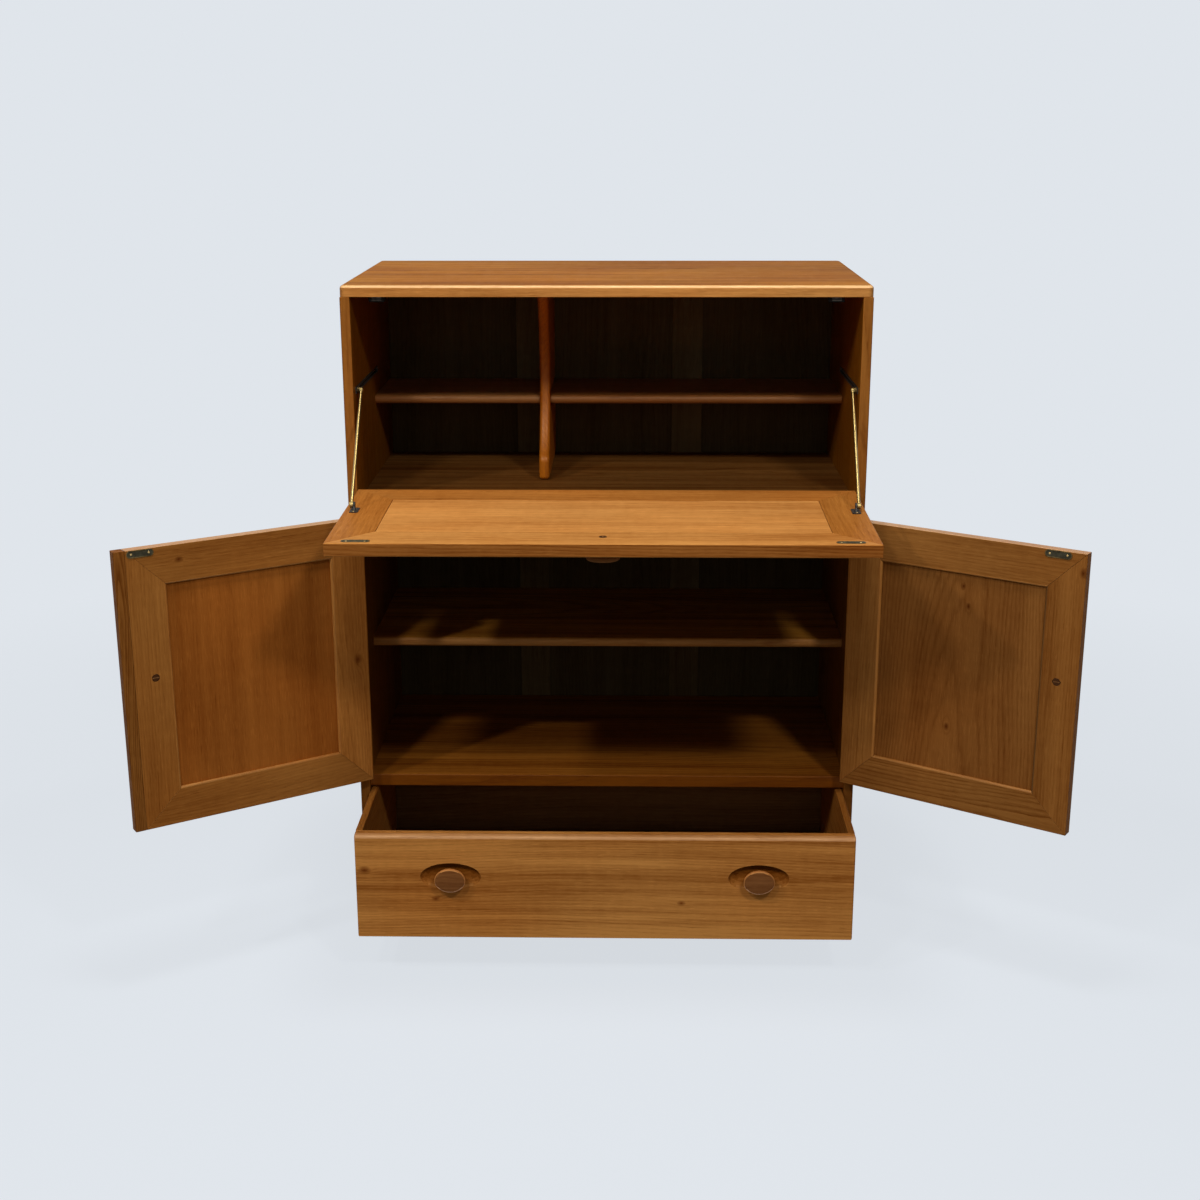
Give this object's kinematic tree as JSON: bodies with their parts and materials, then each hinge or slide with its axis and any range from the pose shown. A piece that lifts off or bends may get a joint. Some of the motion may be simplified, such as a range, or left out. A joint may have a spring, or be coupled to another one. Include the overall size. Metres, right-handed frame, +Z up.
{
  "type": "drinks cabinet",
  "caption": "Free-standing wooden drinks cabinet with a drop flap on sliding stays over a bar compartment, a cupboard behind framed doors, and a drawer; shown standing open.",
  "frame": {"origin": "middle of the plinth's underside, on the floor, in the cabinet's left-right middle", "axes": "+X to the right as seen from the front, +Y from the front to the back, +Z up"},
  "size_m": [1.4566, 0.7739, 1.097],
  "materials": {
    "elm": "satin oiled, golden brown",
    "elm_dark": "satin oiled, shaded back boards",
    "elm_shade": "satin oiled, darker strip and drawer linings",
    "brass": "satin, slightly aged",
    "dark_metal": "dark bronzed satin"
  },
  "bodies": {
    "carcass": {"top_panel": "elm", "left_side": "elm", "right_side": "elm", "bar_board": "elm", "cupboard_floor": "elm", "plinth": "elm", "back_muntin_left": "elm_dark", "back_muntin_right": "elm_dark", "back_panel_left": "elm_dark", "back_panel_centre": "elm_dark", "back_panel_right": "elm_dark", "divider": "elm", "upper_shelf_left": "elm", "upper_shelf_right": "elm", "cupboard_shelf": "elm", "drawer_runner_left": "elm_shade", "drawer_runner_right": "elm_shade", "stay_track_left": "dark_metal", "stay_track_right": "dark_metal", "flap_catch_left": "dark_metal", "flap_catch_right": "dark_metal", "flap_hinge_left": "brass", "flap_hinge_right": "brass", "door_hinge_left_top": "brass", "door_hinge_left_bottom": "brass", "door_hinge_right_top": "brass", "door_hinge_right_bottom": "brass"},
    "flap": {"flap_rail_front": "elm", "flap_rail_rear": "elm", "flap_stile_left": "elm", "flap_stile_right": "elm", "flap_panel": "elm", "flap_knob": "elm", "stay_bracket_left": "dark_metal", "stay_bracket_right": "dark_metal"},
    "rod_left": {"stay_rod_left": "brass"},
    "rod_right": {"stay_rod_right": "brass"},
    "slider_left": {"stay_slider_left": "brass"},
    "slider_right": {"stay_slider_right": "brass"},
    "door_left": {"door_left_rail_top": "elm", "door_left_rail_bottom": "elm", "door_left_stile_hinge": "elm", "door_left_stile_free": "elm", "door_left_panel": "elm", "door_left_strip": "elm_shade", "door_left_knob": "elm"},
    "door_right": {"door_right_rail_top": "elm", "door_right_rail_bottom": "elm", "door_right_stile_hinge": "elm", "door_right_stile_free": "elm", "door_right_panel": "elm", "door_right_knob": "elm"},
    "drawer": {"drawer_front": "elm", "drawer_side_left": "elm", "drawer_side_right": "elm", "drawer_back": "elm", "drawer_bottom": "elm_shade", "drawer_knob_left": "elm", "drawer_knob_right": "elm"}
  },
  "joints": [
    {"name": "flap_hinge", "type": "hinge", "parent": "carcass", "child": "flap", "pos_m": [0, -0.039, 0.75385], "axis": [-1, 0, 0], "range_deg": [0, 91.25]},
    {"name": "rod_left_pivot", "type": "hinge", "parent": "flap", "child": "rod_left", "pos_m": [-0.386, -0.17761, 0.78033], "axis": [1, 0, 0], "range_deg": [0, 59.6]},
    {"name": "rod_right_pivot", "type": "hinge", "parent": "flap", "child": "rod_right", "pos_m": [0.386, -0.17761, 0.78033], "axis": [1, 0, 0], "range_deg": [0, 59.6]},
    {"name": "slider_left_slide", "type": "slide", "parent": "carcass", "child": "slider_left", "axis": [0, 1, 0], "range_m": [0, 0.2212]},
    {"name": "slider_right_slide", "type": "slide", "parent": "carcass", "child": "slider_right", "axis": [0, 1, 0], "range_m": [0, 0.2212]},
    {"name": "door_left_hinge", "type": "hinge", "parent": "carcass", "child": "door_left", "pos_m": [-0.39825, -0.0405, 0.5055], "axis": [0, 0, 1], "range_deg": [-23.5, 146.5]},
    {"name": "door_right_hinge", "type": "hinge", "parent": "carcass", "child": "door_right", "pos_m": [0.39825, -0.0405, 0.5055], "axis": [0, 0, -1], "range_deg": [-23.5, 146.5]},
    {"name": "drawer_slide", "type": "slide", "parent": "carcass", "child": "drawer", "axis": [0, 1, 0], "range_m": [-0.1135, 0.1865]}
  ],
  "couplings": [
    {"joint": "rod_left_pivot", "follows": "flap_hinge", "ratio": 0.65209},
    {"joint": "rod_right_pivot", "follows": "flap_hinge", "ratio": 0.65209},
    {"joint": "slider_left_slide", "follows": "flap_hinge", "m_per_rad": 0.13881},
    {"joint": "slider_right_slide", "follows": "flap_hinge", "m_per_rad": 0.13881}
  ]
}
